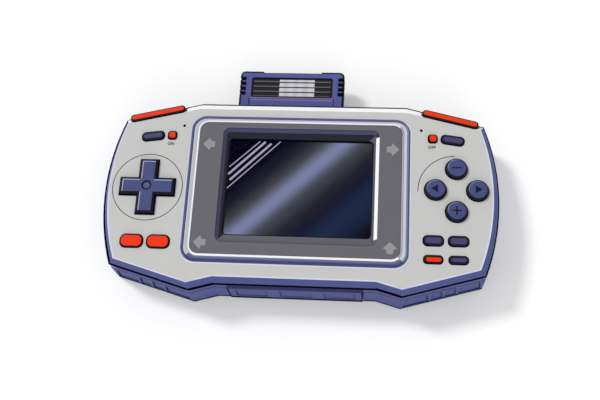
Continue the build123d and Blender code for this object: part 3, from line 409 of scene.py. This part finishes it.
def make_rim_lavender():
    """Pale rim between the ring and the bezel: a painted white highlight along the bezel at the left, top and
    bottom, then the slope of each side in painted light and shade, darker at the right and darkest at the
    bottom.
    """
    soft = 0.06 * MM
    left_step, left_slope, left_outer = 1.0 * MM, 1.25 * MM, 2.2 * MM
    right_line, right_slope, right_outer = 0.2 * MM, 0.65 * MM, 1.1 * MM
    top_slope = 0.8 * MM
    bottom_slope, bottom_outer = 1.25 * MM, 2.2 * MM
    base_share, patch_share, patch_size = 0.97, 0.03, 9 * MM
    grain, grain_height, grain_strength = 0.5 * MM, 0.01 * MM, 0.2
    least_rough, most_rough, rough_size = 0.4, 0.5, 2 * MM
    surface = Surface("rim_lavender")
    distance, *past = surface.near(bezel)
    # Painted highlight and shade, side by side, from the bezel outwards
    left = surface.bands(distance, soft, colour(243, 243, 247), (left_step, colour(178, 178, 183)),
                         (left_slope, colour(196, 198, 208)), (left_outer, colour(206, 208, 216)))
    right = surface.bands(distance, soft, colour(96, 98, 101), (right_line, colour(186, 187, 192)),
                          (right_slope, colour(134, 136, 142)), (right_outer, colour(196, 200, 211)))
    top = surface.bands(distance, soft, colour(246, 246, 250), (top_slope, colour(202, 202, 217)))
    bottom = surface.bands(distance, soft, colour(250, 250, 252), (bottom_slope, colour(112, 118, 152)),
                           (bottom_outer, colour(90, 98, 142)))
    painted = surface.by_side(bezel, past, left, right, top, bottom)
    toned = drift(surface, (base_share, base_share, base_share), patch_share, patch_size)
    painted = surface.add("ShaderNodeVectorMath", painted, toned, operation="MULTIPLY").outputs[0]
    surface.relief(surface.noise(grain), grain_height, grain_strength)
    rough = roughness_range(surface, least_rough, most_rough, rough_size)
    return surface.set(Base_Color=painted, Roughness=rough, Specular_IOR_Level=MATT_SHEEN)


def make_bezel_grey():
    """Dark grey bezel, and its recess in painted light and shade: violet walls at the left and top with a
    painted shadow on the ledge below them, a white painted highlight on the wall at the right, and painted
    shade down the hole.
    """
    soft = 0.06 * MM
    wall_start, bottom_start, ledge_start = 0.25 * MM, 0.35 * MM, 1.7 * MM
    straight_start, straight_full = 0.2 * MM, -0.4 * MM
    right_ledge_start, right_ledge_full = 1.6 * MM, 1.75 * MM
    edge_soft = 0.03 * MM
    hole_start, hole_full = 26.95 * MM, 26.85 * MM
    edge_share = 0.3
    line, lit_slope = colour(50, 50, 68), colour(97, 97, 105)
    surface, painted = moulded("bezel_grey", colour(103, 102, 109), colour(112, 111, 118), edge_share)
    distance, past_x, past_y = surface.near(recess)
    depth = surface.both(distance, -1.0)
    # Painted shade: violet walls at the left and top, dark ledges below them
    left = surface.bands(depth, soft, line, (wall_start, colour(78, 75, 104)),
                         (ledge_start, colour(30, 30, 41)))
    top = surface.bands(depth, soft, line, (wall_start, colour(76, 78, 112)),
                        (ledge_start, colour(33, 31, 43)))
    bottom = surface.bands(depth, soft, colour(64, 64, 72), (bottom_start, lit_slope))
    straight = surface.step(past_y, straight_start, straight_full)
    corner = surface.mix(surface.step(surface.y, -MM, MM), lit_slope, colour(60, 58, 74))
    # Painted highlight: the white wall at the right
    right_wall = surface.mix(straight, corner, colour(252, 252, 253))
    right_ledge = surface.step(depth, right_ledge_start, right_ledge_full)
    right = surface.mix(right_ledge, right_wall, colour(88, 88, 96))
    inside = surface.by_side(recess, (past_x, past_y), left, right, top, bottom)
    painted = surface.mix(surface.step(depth, -edge_soft, edge_soft), painted, inside)
    # Painted shade down the hole under the ledge
    hole = surface.step(surface.z, hole_start, hole_full)
    painted = surface.mix(hole, painted, colour(20, 20, 28))
    return surface.set(Base_Color=painted)


# Screen

def make_clear_lens():
    """Clear acrylic with a faint blue tint and fine haze, printed black round the window."""
    least_rough, most_rough, rough_size = 0.05, 0.1, 20 * MM
    patch_share, patch_size = 0.1, 25 * MM
    border_start, border_full = -0.07 * MM, 0.08 * MM
    least_cover = 0.06
    surface = Surface("clear_lens")
    haze = roughness_range(surface, least_rough, most_rough, rough_size)
    tint = drift(surface, colour(30, 34, 60), patch_share, patch_size)
    border = surface.step(surface.near(printed)[0], border_start, border_full)
    return surface.set(Base_Color=surface.mix(border, tint, colour(14, 14, 22)), Roughness=haze,
                       Alpha=surface.either(border, least_cover), Specular_IOR_Level=SATIN_SHEEN)


def make_display():
    """Dark display with a painted reflection: a soft diagonal band of sky, which the display gives off as
    light.
    """
    x_share, y_share = 0.691, 0.722
    start, span = -42 * MM, 82 * MM
    roughness = 0.3
    surface = Surface("display_black")
    across = surface.minus(surface.both(surface.x, x_share), surface.both(surface.y, y_share))
    along_span = surface.math("DIVIDE", surface.minus(across, start), span)
    ramp = surface.add("ShaderNodeValToRGB", along_span)
    ramp.color_ramp.interpolation = "CARDINAL"
    stops = (
        (0.0, colour(4, 1, 12)),
        (0.21, colour(9, 8, 24)),
        (0.32, colour(46, 47, 55)),
        (0.38, colour(84, 87, 98)),
        (0.45, colour(128, 133, 172)),
        (0.52, colour(84, 88, 102)),
        (0.59, colour(52, 53, 60)),
        (0.69, colour(25, 26, 44)),
        (0.82, colour(29, 43, 70)),
        (1.0, colour(10, 9, 20)),
    )
    ramp.color_ramp.elements[0].position, ramp.color_ramp.elements[0].color = stops[0]
    ramp.color_ramp.elements[1].position, ramp.color_ramp.elements[1].color = stops[-1]
    for position, level in stops[1:-1]:
        ramp.color_ramp.elements.new(position).color = level
    # The painted reflection, given off as light
    return surface.set(Base_Color=colour(2, 2, 4), Emission_Color=ramp.outputs[0], Emission_Strength=1.0,
                       Roughness=roughness, Specular_IOR_Level=0.0)


# Keys

def dress_pad(surface, body, side):
    """The cross pad: a dark outline then a painted highlight inside its upper left edges, and a dimple in its
    middle with painted shade on its slope round a paler floor.
    """
    pad_start, pad_full = -55 * MM, -56 * MM
    arm, arm_soft = 3.5 * MM, 0.05 * MM
    column_extra, row_extra = 10.0 * MM, 9.3 * MM
    flat_start, flat_full = 0.95, 0.98
    pale_start, pale_end, line_soft = 0.45 * MM, 0.9 * MM, 0.08 * MM
    floor_radius, floor_soft = 2.0 * MM, 0.1 * MM
    dimple_start, dimple_full = 2.7 * MM, 2.55 * MM
    on_pad = surface.step(surface.x, pad_start, pad_full)
    across = surface.minus(surface.x, pad_middle.x)
    along = surface.minus(surface.y, pad_middle.y)
    in_column = surface.step(surface.unsigned(across), arm + arm_soft, arm - arm_soft)
    in_row = surface.step(surface.unsigned(along), arm + arm_soft, arm - arm_soft)
    from_top = surface.minus(surface.plus(surface.both(in_column, column_extra), arm), along)
    from_left = surface.plus(surface.plus(surface.both(in_row, row_extra), arm), across)
    inset = surface.math("MINIMUM", from_top, from_left)
    flat = surface.step(surface.facing_z, flat_start, flat_full)
    # Dark outline, then the painted highlight, then the top's own colour
    lines = surface.bands(inset, line_soft, side, (pale_start, colour(168, 170, 208)), (pale_end, body))
    body = surface.mix(surface.both(on_pad, flat), body, lines)
    distance = surface.reach(across, along)
    # The dimple: paler floor, painted shade on its slope
    dimple = surface.bands(distance, floor_soft, colour(75, 92, 132), (floor_radius, colour(34, 38, 74)))
    inside = surface.both(on_pad, surface.step(distance, dimple_start, dimple_full))
    return surface.mix(inside, body, dimple)


def dress_shoulder(surface, body, side):
    """The two shoulder buttons: a dark outline on their outer edge."""
    half_length, half_width, line, soft = 14.4 * MM, 1.9 * MM, 0.75 * MM, 0.08 * MM
    middle_x, middle_y, tilt_deg = 75.0 * MM, 40.3 * MM, 13.6
    edge = 0.0
    for mirror in (-1, 1):
        turn = math.radians(-mirror * tilt_deg)
        cosine, sine = math.cos(turn), math.sin(turn)
        x = surface.minus(surface.x, mirror * middle_x)
        y = surface.minus(surface.y, middle_y)
        along = surface.plus(surface.both(x, cosine), surface.both(y, sine))
        across = surface.minus(surface.both(y, cosine), surface.both(x, sine))
        past = surface.either(surface.minus(surface.unsigned(along), half_length - half_width), 0.0)
        band = surface.within(surface.reach(past, across), half_width - line, half_width + MM, soft)
        edge = surface.either(band, edge)
    return surface.mix(edge, body, side)


def dress_small(surface, body, side):
    """Small keys: a dark line inside their upper left edges."""
    line, lean_start, lean_full = 0.8 * MM, 0.08, 0.16
    return surface.mix(surface.step(surface.leaning(line), lean_start, lean_full), body, side)


def key_material(name, top, side, edge, dark_from, dress):
    """A key: coloured top, a painted highlight on its upper left, and painted shade below the slope its edge
    starts at, which draws its dark outline.
    """
    patch_share, patch_size = 0.04, 5 * MM
    far_start, far_full, far_dark_from = 0.04, 0.14, 0.97
    lean_share, lean_start, lean_full = 0.7, 0.06, 0.12
    rim_spare, edge_share = 0.01, 0.7
    wall_soft = 0.012
    low_start, low_full = 0.3 * MM, 0.5 * MM
    grain, grain_height, grain_strength = 0.3 * MM, 0.012 * MM, 0.2
    least_rough, most_rough, rough_size = 0.4, 0.5, 2 * MM
    surface = Surface(name)
    body = drift(surface, top, patch_share, patch_size)
    to_far = surface.either(surface.facing_y, surface.both(surface.facing_x, -1.0))
    far = surface.step(to_far, far_start, far_full)
    limit = surface.plus(surface.both(far, far_dark_from - dark_from), dark_from)
    spare = surface.minus(surface.facing_z, limit)
    # Painted highlight on the upper left of the key's edge
    lean = surface.both(surface.minus(surface.facing_y, surface.facing_x), lean_share)
    rim = surface.both(surface.step(lean, lean_start, lean_full), surface.step(spare, 0.0, rim_spare))
    body = surface.mix(surface.both(rim, edge_share), body, edge)
    body = dress(surface, body, side)
    # Painted shade on the walls and on the skirt below the face, so each key has a dark outline
    wall = surface.step(spare, wall_soft, -wall_soft)
    low = surface.step(surface.z, face_top - low_start, face_top - low_full)
    painted = surface.mix(surface.either(wall, low), body, side)
    surface.relief(surface.noise(grain, FINE_DETAIL), grain_height, grain_strength)
    rough = roughness_range(surface, least_rough, most_rough, rough_size)
    return surface.set(Base_Color=painted, Roughness=rough, Specular_IOR_Level=SATIN_SHEEN)


# Cartridge

def make_label():
    """Cartridge label with a black border: dark ends with light lines, pale middle with dark lines."""
    pale_left, pale_right, pale_soft = -14.3 * MM, 4.4 * MM, 0.05 * MM
    row_height = 2.9 * MM
    light_shares, light_soft = (0.12, 0.34), 0.04
    dark_shares, dark_soft = (0.0, 0.18), 0.03
    patch_share, patch_size = 0.1, 3 * MM
    streak_scale, streak_bend = 60.0, 3.0
    border_start, border_full = -0.8 * MM, -0.6 * MM
    grain, grain_height, grain_strength = 0.4 * MM, 0.01 * MM, 0.2
    least_rough, most_rough, rough_size = 0.4, 0.55, 2 * MM
    surface = Surface("label_dark")
    pale = surface.within(surface.x, pale_left, pale_right, pale_soft)
    rows = surface.math("DIVIDE", surface.minus(surface.y, label.bottom), row_height)
    place = surface.math("FRACT", rows)
    light = surface.within(place, *light_shares, light_soft)
    black = drift(surface, colour(32, 32, 36), patch_share, patch_size)
    ends = surface.mix(light, black, colour(98, 98, 101))
    wave = surface.add("ShaderNodeTexWave", surface.place, streak_scale, streak_bend, wave_type="BANDS")
    paper = surface.mix(wave.outputs[1], colour(192, 194, 199), colour(210, 210, 215))
    middle = surface.mix(surface.within(place, *dark_shares, dark_soft), paper, colour(22, 22, 26))
    painted = surface.mix(pale, ends, middle)
    border = surface.step(surface.near(label)[0], border_start, border_full)
    painted = surface.mix(border, painted, colour(14, 14, 18))
    rough = roughness_range(surface, least_rough, most_rough, rough_size)
    surface.relief(surface.noise(grain), grain_height, grain_strength)
    return surface.set(Base_Color=painted, Roughness=rough, Specular_IOR_Level=MATT_SHEEN)


def make_cartridge():
    """Cartridge plastic: a dark outline on its slopes and walls, which puts painted shade in its slots, and a
    pale band below the label as a painted highlight.
    """
    top_start, top_full = 16.5 * MM, 16.6 * MM
    outline_start, outline_full = -1.15 * MM, -1.0 * MM
    line_radius, line_start, line_full = 0.8 * MM, 0.03, 0.09
    band_bottom, band_top, band_soft = 55.4 * MM, 57.0 * MM, 0.3 * MM
    band_half_width, band_end_soft, band_share = 22.0 * MM, 0.5 * MM, 0.85
    edge_share = 0.4
    surface, painted = moulded("cartridge_violet", colour(84, 91, 150), colour(98, 104, 162), edge_share)
    slope = surface.step(surface.facing_z, *SLOPED)
    top = surface.both(surface.step(surface.z, top_start, top_full), surface.step(surface.facing_z, *LEVEL))
    rim = surface.step(surface.near(cart_outline)[0], outline_start, outline_full)
    outline = surface.both(surface.either(rim, surface.edges(line_radius, line_start, line_full)), top)
    # Dark outline on the slopes and walls, painted shade in the slots
    painted = surface.mix(surface.either(slope, outline), painted, colour(8, 8, 24))
    left, right = cart_middle.x - band_half_width, cart_middle.x + band_half_width
    band = surface.both(surface.within(surface.y, band_bottom, band_top, band_soft),
                        surface.within(surface.x, left, right, band_end_soft))
    # Painted highlight: the pale band below the label
    painted = surface.mix(surface.both(band, band_share), painted, colour(132, 124, 180))
    return surface.set(Base_Color=painted)


# Inner parts, lamps and ink

def make_inner(name, base, roughness, metallic=0.0):
    """A plain inner part with slight drift in colour and roughness."""
    size, grain_height, grain_strength = 1.5 * MM, 0.02 * MM, 0.3
    rough_spread, patch_share = 0.08, 0.08
    surface = Surface(name)
    surface.relief(surface.noise(size / 3, FINE_DETAIL), grain_height, grain_strength)
    rough = roughness_range(surface, roughness - rough_spread, roughness + rough_spread, size)
    body = drift(surface, base, patch_share, size * 3)
    return surface.set(Base_Color=body, Roughness=rough, Metallic=metallic)


def make_print(name, base):
    """Matt ink of a printed mark."""
    least_rough, most_rough, rough_size = 0.5, 0.65, 0.6 * MM
    patch_share, patch_size = 0.06, 1.2 * MM
    surface = Surface(name)
    rough = roughness_range(surface, least_rough, most_rough, rough_size)
    body = drift(surface, base, patch_share, patch_size)
    return surface.set(Base_Color=body, Roughness=rough, Specular_IOR_Level=MATT_SHEEN)


def make_lamp():
    """Smoked lamps that look black when they are off."""
    least_rough, most_rough, rough_size = 0.4, 0.5, 0.8 * MM
    patch_share, patch_size, sheen = 0.1, MM, 0.05
    surface = Surface("lamp_dark")
    rough = roughness_range(surface, least_rough, most_rough, rough_size)
    body = drift(surface, colour(3, 3, 6), patch_share, patch_size)
    return surface.set(Base_Color=body, Roughness=rough, Specular_IOR_Level=sheen)


# Painted shade for the keys' walls and skirts; each key's third colour below is its painted highlight
key_side, red_side = colour(14, 14, 34), colour(28, 4, 6)
violet_dark_from, pill_dark_from, red_dark_from = 0.93, 0.925, 0.86
materials = {
    "face_grey": make_face_grey(),
    "shell_violet": make_shell_violet(),
    "rim_lavender": make_rim_lavender(),
    "bezel_grey": make_bezel_grey(),
    "clear_lens": make_clear_lens(),
    "display_black": make_display(),
    "white_diffuser": make_inner("white_diffuser", colour(225, 225, 225), roughness=0.5),
    "key_violet": key_material("key_violet", colour(68, 76, 122), key_side, colour(196, 196, 228),
                               violet_dark_from, dress_pad),
    "key_dark": key_material("key_dark", colour(69, 67, 109), key_side, colour(100, 100, 142),
                             pill_dark_from, dress_small),
    "key_red": key_material("key_red", colour(240, 50, 5), red_side, colour(252, 92, 60),
                            red_dark_from, dress_small),
    "shoulder_red": key_material("shoulder_red", colour(226, 58, 22), red_side, colour(236, 84, 54),
                                 red_dark_from, dress_shoulder),
    "cartridge_violet": make_cartridge(),
    "label_dark": make_label(),
    "board_green": make_inner("board_green", colour(18, 92, 58), roughness=0.35),
    "chip_black": make_inner("chip_black", colour(34, 34, 36), roughness=0.5),
    "silicone": make_inner("silicone", colour(176, 176, 172), roughness=0.6),
    "foam": make_inner("foam", colour(30, 30, 32), roughness=0.8),
    "sheet_steel": make_inner("sheet_steel", colour(190, 190, 192), roughness=0.3, metallic=1.0),
    "screw_steel": make_inner("screw_steel", colour(140, 140, 144), roughness=0.35, metallic=1.0),
    "cell_jacket": make_inner("cell_jacket", colour(60, 66, 78), roughness=0.35, metallic=0.6),
    "speaker_black": make_inner("speaker_black", colour(40, 40, 42), roughness=0.7),
    "lamp_dark": make_lamp(),
}
print_grey = make_print("print_grey", colour(146, 149, 150))
print_black = make_print("print_black", colour(16, 18, 44))
# Matt ink for the painted reflection on the lens
reflection_violet = make_print("reflection_violet", colour(166, 160, 182))
print_dark = make_print("print_dark", colour(40, 42, 40))

for entry in frame["record"]["subparts"]:
    node = frame["nodes"][entry["node"]]
    node.data.materials.clear()
    node.data.materials.append(materials[entry["material_slot"]])


# Added pieces

def plate(name, outline, height, thickness, material, body):
    """A thin plate with the given outline, its top at one height, that rides on a body."""
    mesh = bpy.data.meshes.new(name)
    bm = bmesh.new()
    corners = [bm.verts.new((x, y, height - thickness)) for x, y in outline]
    base = bm.faces.new(corners)
    raised = bmesh.ops.extrude_face_region(bm, geom=[base])["geom"]
    moved = [item for item in raised if isinstance(item, bmesh.types.BMVert)]
    bmesh.ops.translate(bm, verts=moved, vec=(0, 0, thickness))
    bmesh.ops.recalc_face_normals(bm, faces=bm.faces)
    bm.to_mesh(mesh)
    bm.free()
    piece = bpy.data.objects.new(name, mesh)
    scene.collection.objects.link(piece)
    mesh.materials.append(material)
    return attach(piece, body)


def turned(outline, centre, degrees):
    """An outline turned about its origin, then moved to a centre."""
    turn = Matrix.Rotation(math.radians(degrees), 2)
    return [tuple(turn @ Vector(point) + Vector(centre)) for point in outline]


def arrow_outline():
    """A broad arrow along +X, about its middle."""
    half, wing, neck, tail = 3.1 * MM, 3.5 * MM, 1.75 * MM, 1.5 * MM
    barb, root = -0.23 * MM, -0.95 * MM
    upper = [(half, 0), (barb, wing), (root, neck), (-half, tail)]
    lower = [(-half, -tail), (root, -neck), (barb, -wing)]
    return upper + lower


# Each arrow's place on the bezel in millimetres, and the way it points
arrow_spots = {
    "bezel_arrow_upper_left": ((-46.9, 24.0), 180),
    "bezel_arrow_upper_right": ((46.5, 23.1), 0),
    "bezel_arrow_lower_left": ((-47.3, -28.7), 180),
    "bezel_arrow_lower_right": ((46.0, -28.8), 90),
}
for name, ((x, y), degrees) in arrow_spots.items():
    outline = turned(arrow_outline(), (x * MM, y * MM), degrees)
    plate(name, outline, bezel_top + SKIN, SKIN * 2, print_grey, "case")


def stripe_outline(start, end, width):
    """A straight stripe with rounded ends, between two points."""
    start, end = Vector(start) * MM, Vector(end) * MM
    along = (end - start).normalized()
    points = []
    steps = 6
    for middle, first in ((end, -90), (start, 90)):
        for step in range(steps + 1):
            turn = Matrix.Rotation(math.radians(first + 180 * step / steps), 2)
            points.append(tuple(middle + turn @ along * width / 2))
    return points


# The streaks of light at the lens's upper left, a painted reflection in matt ink: each one's ends and width
# in millimetres
stripes = (
    ((-35.8, 12.7), (-21.2, 27.0), 0.55),
    ((-35.9, 8.9), (-18.6, 26.6), 1.15),
    ((-34.9, 5.8), (-15.6, 25.6), 1.15),
    ((-36.1, 1.2), (-10.8, 27.0), 0.55),
)
for index, (start, end, width) in enumerate(stripes, 1):
    outline = stripe_outline(start, end, width * MM)
    plate(f"lens_stripe_{index}", outline, lens_top + SKIN, SKIN, reflection_violet, "case")


def mark_outline(shape):
    """The outline of a round key's mark, about its middle."""
    long, thin, arrow = 2.2 * MM, 0.34 * MM, 2.2 * MM
    if shape == "minus":
        return [(-long, -thin), (long, -thin), (long, thin), (-long, thin)]
    if shape == "plus":
        return [(-long, -thin), (-thin, -thin), (-thin, -long), (thin, -long), (thin, -thin), (long, -thin),
                (long, thin), (thin, thin), (thin, long), (-thin, long), (-thin, thin), (-long, thin)]
    return [(arrow * math.cos(math.radians(turn)), arrow * math.sin(math.radians(turn)))
            for turn in (0, 120, 240)]


mark_thickness = 0.25 * MM
for body, shape, degrees in (("button_minus", "minus", 0), ("button_plus", "plus", 0),
                             ("button_forward", "arrow", 0), ("button_back", "arrow", 180)):
    key = node_box(body)
    outline = turned(mark_outline(shape), key.middle.xy, degrees)
    plate(f"{body}_mark", outline, key.high.z - SKIN, mark_thickness, print_black, body)


def words(name, text, centre):
    """Small plain capitals printed on the face."""
    curve = bpy.data.curves.new(name, "FONT")
    curve.body = text
    curve.size = 2.15 * MM
    curve.extrude = SKIN
    curve.offset = 0.05 * MM
    curve.align_x = "CENTER"
    piece = bpy.data.objects.new(name, curve)
    piece.location = (centre[0], centre[1], face_top + SKIN * 0.5)
    scene.collection.objects.link(piece)
    curve.materials.append(print_dark)
    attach(piece, "case")


word_left, word_below = 0.4 * MM, 1.9 * MM
for name, text in (("square_key_left", "ON"), ("square_key_right", "OFF")):
    key = node_box(name)
    words(f"{name}_word", text, (key.middle.x - word_left, key.low.y - word_below))


# Floor, light and camera

def make_floor():
    """A large pale floor that keeps the object's shadow, and looks a little brighter where it is seen."""
    pale, roughness, glow = (0.86, 0.86, 0.86, 1.0), 0.9, 0.2
    half = 3.0
    surface = Surface("floor_pale")
    path = surface.nodes.new("ShaderNodeLightPath")
    mirrored = surface.either(path.outputs["Is Glossy Ray"], path.outputs["Is Transmission Ray"])
    seen = surface.either(path.outputs["Is Camera Ray"], mirrored)
    surface.set(Base_Color=pale, Roughness=roughness, Specular_IOR_Level=0.0,
                Emission_Color=(1.0, 1.0, 1.0, 1.0), Emission_Strength=surface.both(seen, glow))
    mesh = bpy.data.meshes.new("floor")
    corners = [(-half, -half, 0), (half, -half, 0), (half, half, 0), (-half, half, 0)]
    mesh.from_pydata(corners, [], [(0, 1, 2, 3)])
    mesh.materials.append(surface.material)
    floor = bpy.data.objects.new("floor", mesh)
    floor.location.z = -SKIN
    scene.collection.objects.link(floor)


def make_world():
    """Even white surroundings, full white where they are seen directly or reflected."""
    lit_strength, seen_strength = 0.55, 1.0
    world = bpy.data.worlds.new("surroundings")
    scene.world = world
    world.use_nodes = True
    nodes, links = world.node_tree.nodes, world.node_tree.links
    background = nodes["Background"]
    background.inputs["Color"].default_value = (1.0, 1.0, 1.0, 1.0)
    path = nodes.new("ShaderNodeLightPath")
    seen = path.outputs["Is Camera Ray"]
    for ray in ("Is Glossy Ray", "Is Transmission Ray"):
        larger = nodes.new("ShaderNodeMath")
        larger.operation = "MAXIMUM"
        links.new(seen, larger.inputs[0])
        links.new(path.outputs[ray], larger.inputs[1])
        seen = larger.outputs[0]
    level = nodes.new("ShaderNodeMapRange")
    level.inputs["To Min"].default_value = lit_strength
    level.inputs["To Max"].default_value = seen_strength
    links.new(seen, level.inputs["Value"])
    links.new(level.outputs[0], background.inputs["Strength"])


def make_sun(name, toward, strength, angle):
    """A distant lamp that shines along a direction."""
    data = bpy.data.lights.new(name, "SUN")
    data.energy = strength
    data.angle = math.radians(angle)
    lamp = bpy.data.objects.new(name, data)
    lamp.rotation_mode = "QUATERNION"
    lamp.rotation_quaternion = Vector(toward).to_track_quat("-Z", "Y")
    scene.collection.objects.link(lamp)


def make_camera():
    """The photograph's viewpoint: its direction, roll, distance and lens, solved from the case outline."""
    azimuth, elevation, roll = (math.radians(angle) for angle in (13.55, 68.86, -11.11))
    distance = 488 * MM
    target = Vector((-2.15, -0.01, 14.5)) * MM
    sensor_width, lens = 36.0, 57.24
    shift_px, picture_width_px = 4.1, 600
    nearest, farthest = 0.01, 20.0
    back = Vector((math.sin(azimuth) * math.cos(elevation), -math.cos(azimuth) * math.cos(elevation),
                   math.sin(elevation)))
    level_right = Vector((math.cos(azimuth), math.sin(azimuth), 0))
    right = math.cos(roll) * level_right + math.sin(roll) * back.cross(level_right)
    up = back.cross(right)
    data = bpy.data.cameras.new("camera")
    data.sensor_width = sensor_width
    data.lens = lens
    data.shift_x = shift_px / picture_width_px
    data.clip_start, data.clip_end = nearest, farthest
    camera = bpy.data.objects.new("camera", data)
    turn = Matrix((right, up, back)).transposed().to_4x4()
    camera.matrix_world = Matrix.Translation(target + back * distance) @ turn
    scene.collection.objects.link(camera)
    scene.camera = camera


make_floor()
make_world()
make_sun("key_light", toward=(0.55, -0.35, -0.76), strength=1.5, angle=12)
make_sun("front_fill", toward=(-0.15, 0.85, -0.5), strength=0.55, angle=40)
make_camera()
scene.view_settings.view_transform = "Standard"
